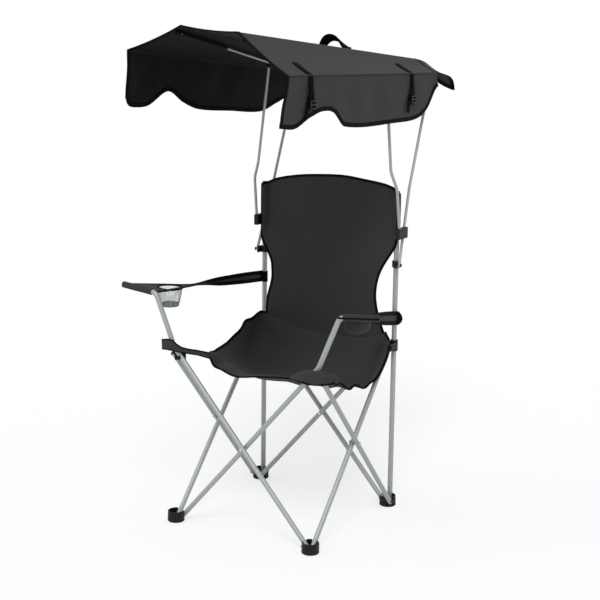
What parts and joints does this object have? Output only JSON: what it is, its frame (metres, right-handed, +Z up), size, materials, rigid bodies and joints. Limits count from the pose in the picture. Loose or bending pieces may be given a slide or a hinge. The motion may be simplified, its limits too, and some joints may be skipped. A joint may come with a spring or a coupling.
{
  "type": "canopy camping chair",
  "caption": "Folding camping chair with crossed steel legs, a sling seat, a tall back, arms with a net cup and a pouch, and a scalloped sun canopy on two side frames.",
  "frame": {"origin": "On the floor, under the middle of the open chair's overall box.", "axes": "+Z is up. The chair faces -Y. Its left side, as seen by the person who sits in it facing forward, is at +X; node names take the side as the picture shows it, with left at -X."},
  "size_m": [0.7682, 0.9143, 1.3107],
  "materials": {
    "coated_steel": "silver grey powder coat, semi gloss",
    "rivet_steel": "bright steel rivet",
    "black_moulding": "black moulded nylon, satin",
    "oxford_cloth": "black coated oxford weave",
    "webbing": "black woven webbing",
    "cup_mesh": "pale grey knitted net"
  },
  "bodies": {
    "right_rear_frame": {"right_upright": "coated_steel", "right_upright_cap": "black_moulding", "rear_right_foot": "black_moulding", "back_panel": "oxford_cloth", "seat_panel": "oxford_cloth", "right_armrest": "oxford_cloth", "right_arm_pocket": "oxford_cloth", "right_canopy_clamp": "black_moulding"},
    "left_rear_frame": {"left_upright": "coated_steel", "left_upright_cap": "black_moulding", "rear_left_foot": "black_moulding", "left_armrest": "oxford_cloth", "cup_holder_net": "cup_mesh", "left_canopy_clamp": "black_moulding"},
    "rear_leg_left": {"rear_leg_to_left_slider": "coated_steel", "rear_crossing_rivet": "rivet_steel"},
    "rear_leg_right": {"rear_leg_to_right_slider": "coated_steel"},
    "right_slider": {"rear_right_slider": "black_moulding"},
    "left_slider": {"rear_left_slider": "black_moulding"},
    "right_outer_leg": {"right_side_outer_leg": "coated_steel", "right_crossing_rivet": "rivet_steel"},
    "right_inner_leg": {"right_side_inner_leg": "coated_steel"},
    "right_front_foot": {"front_right_foot": "black_moulding"},
    "right_hub": {"front_right_hub": "black_moulding"},
    "front_leg_left_post": {"front_leg_and_left_arm_post": "coated_steel", "left_arm_bar_cap": "black_moulding", "front_crossing_rivet": "rivet_steel"},
    "front_leg_right_post": {"front_leg_and_right_arm_post": "coated_steel", "right_arm_bar_cap": "black_moulding"},
    "left_front_foot": {"front_left_foot": "black_moulding"},
    "left_outer_leg": {"left_side_outer_leg": "coated_steel", "left_crossing_rivet": "rivet_steel"},
    "left_inner_leg": {"left_side_inner_leg": "coated_steel"},
    "left_hub": {"front_left_hub": "black_moulding"},
    "right_canopy_frame": {"right_canopy_snap_clip": "black_moulding", "right_rear_pole": "coated_steel", "right_front_pole": "coated_steel", "right_canopy_rail": "coated_steel", "right_rail_tip": "black_moulding", "right_rear_rail_joint": "black_moulding", "right_front_rail_joint": "black_moulding", "canopy_cover": "oxford_cloth", "canopy_rear_flap": "oxford_cloth", "carry_handle": "webbing", "right_front_canopy_strap": "webbing", "right_rear_canopy_strap": "webbing", "right_front_strap_buckle": "black_moulding", "right_rear_strap_buckle": "black_moulding"},
    "left_canopy_frame": {"left_canopy_snap_clip": "black_moulding", "left_rear_pole": "coated_steel", "left_front_pole": "coated_steel", "left_canopy_rail": "coated_steel", "left_rail_tip": "black_moulding", "left_rear_rail_joint": "black_moulding", "left_front_rail_joint": "black_moulding", "left_front_canopy_strap": "webbing", "left_rear_canopy_strap": "webbing", "left_front_strap_buckle": "black_moulding", "left_rear_strap_buckle": "black_moulding"}
  },
  "joints": [
    {"name": "fold", "type": "hinge", "parent": "right_rear_frame", "child": "rear_leg_left", "pos_m": [0.1935, 0.1577, 0.018], "axis": [0, 1, 0], "range_deg": [0, 32], "deforming": ["back_panel", "seat_panel", "left_armrest", "right_armrest", "right_arm_pocket", "cup_holder_net", "canopy_cover", "canopy_rear_flap", "carry_handle", "left_front_canopy_strap", "left_rear_canopy_strap", "right_front_canopy_strap", "right_rear_canopy_strap"]},
    {"name": "rear_scissor", "type": "hinge", "parent": "rear_leg_left", "child": "rear_leg_right", "pos_m": [0, 0.1507, 0.2365], "axis": [0, 1, 0], "range_deg": [-64, 0]},
    {"name": "rear_left_foot_pivot", "type": "hinge", "parent": "rear_leg_right", "child": "left_rear_frame", "pos_m": [-0.1935, 0.1437, 0.018], "axis": [0, 1, 0], "range_deg": [0, 32]},
    {"name": "right_slider_pivot", "type": "hinge", "parent": "rear_leg_right", "child": "right_slider", "pos_m": [0.1935, 0.1437, 0.455], "axis": [0, 1, 0], "range_deg": [0, 32]},
    {"name": "left_slider_pivot", "type": "hinge", "parent": "rear_leg_left", "child": "left_slider", "pos_m": [-0.1935, 0.1577, 0.455], "axis": [0, 1, 0], "range_deg": [-32, 0]},
    {"name": "right_outer_leg_pivot", "type": "hinge", "parent": "right_rear_frame", "child": "right_outer_leg", "pos_m": [0.2245, 0.1447, 0.018], "axis": [-1, 0, 0], "range_deg": [0, 32]},
    {"name": "right_scissor", "type": "hinge", "parent": "right_outer_leg", "child": "right_inner_leg", "pos_m": [0.2175, -0.0488, 0.2365], "axis": [-1, 0, 0], "range_deg": [-64, 0]},
    {"name": "right_front_foot_pivot", "type": "hinge", "parent": "right_inner_leg", "child": "right_front_foot", "pos_m": [0.2105, -0.2423, 0.018], "axis": [-1, 0, 0], "range_deg": [0, 32]},
    {"name": "right_hub_pivot", "type": "hinge", "parent": "right_outer_leg", "child": "right_hub", "pos_m": [0.2245, -0.2423, 0.455], "axis": [-1, 0, 0], "range_deg": [-32, 0]},
    {"name": "front_left_post_leg_pivot", "type": "hinge", "parent": "right_front_foot", "child": "front_leg_left_post", "pos_m": [0.1935, -0.2553, 0.018], "axis": [0, 1, 0], "range_deg": [0, 32]},
    {"name": "front_scissor", "type": "hinge", "parent": "front_leg_left_post", "child": "front_leg_right_post", "pos_m": [0, -0.2483, 0.2365], "axis": [0, 1, 0], "range_deg": [-64, 0]},
    {"name": "left_front_foot_pivot", "type": "hinge", "parent": "front_leg_right_post", "child": "left_front_foot", "pos_m": [-0.1935, -0.2413, 0.018], "axis": [0, 1, 0], "range_deg": [0, 32]},
    {"name": "left_outer_leg_pivot", "type": "hinge", "parent": "left_rear_frame", "child": "left_outer_leg", "pos_m": [-0.2245, 0.1447, 0.018], "axis": [-1, 0, 0], "range_deg": [0, 32]},
    {"name": "left_scissor", "type": "hinge", "parent": "left_outer_leg", "child": "left_inner_leg", "pos_m": [-0.2175, -0.0488, 0.2365], "axis": [-1, 0, 0], "range_deg": [-64, 0]},
    {"name": "left_hub_pivot", "type": "hinge", "parent": "left_outer_leg", "child": "left_hub", "pos_m": [-0.2245, -0.2423, 0.455], "axis": [-1, 0, 0], "range_deg": [-32, 0]},
    {"name": "canopy_swing_right", "type": "hinge", "parent": "right_rear_frame", "child": "right_canopy_frame", "pos_m": [0.2265, 0.1602, 0.68], "axis": [-1, 0, 0], "range_deg": [0, 110]},
    {"name": "canopy_swing_left", "type": "hinge", "parent": "left_rear_frame", "child": "left_canopy_frame", "pos_m": [-0.2265, 0.1602, 0.68], "axis": [-1, 0, 0], "range_deg": [0, 110]}
  ],
  "couplings": [
    {"joint": "rear_scissor", "follows": "fold", "ratio": -2},
    {"joint": "rear_left_foot_pivot", "follows": "fold", "ratio": 1},
    {"joint": "right_slider_pivot", "follows": "fold", "ratio": 1},
    {"joint": "left_slider_pivot", "follows": "fold", "ratio": -1},
    {"joint": "right_outer_leg_pivot", "follows": "fold", "ratio": 1},
    {"joint": "right_scissor", "follows": "fold", "ratio": -2},
    {"joint": "right_front_foot_pivot", "follows": "fold", "ratio": 1},
    {"joint": "right_hub_pivot", "follows": "fold", "ratio": -1},
    {"joint": "front_left_post_leg_pivot", "follows": "fold", "ratio": 1},
    {"joint": "front_scissor", "follows": "fold", "ratio": -2},
    {"joint": "left_front_foot_pivot", "follows": "fold", "ratio": 1},
    {"joint": "left_outer_leg_pivot", "follows": "fold", "ratio": 1},
    {"joint": "left_scissor", "follows": "fold", "ratio": -2},
    {"joint": "left_hub_pivot", "follows": "fold", "ratio": -1},
    {"joint": "canopy_swing_left", "follows": "canopy_swing_right", "ratio": 1}
  ]
}
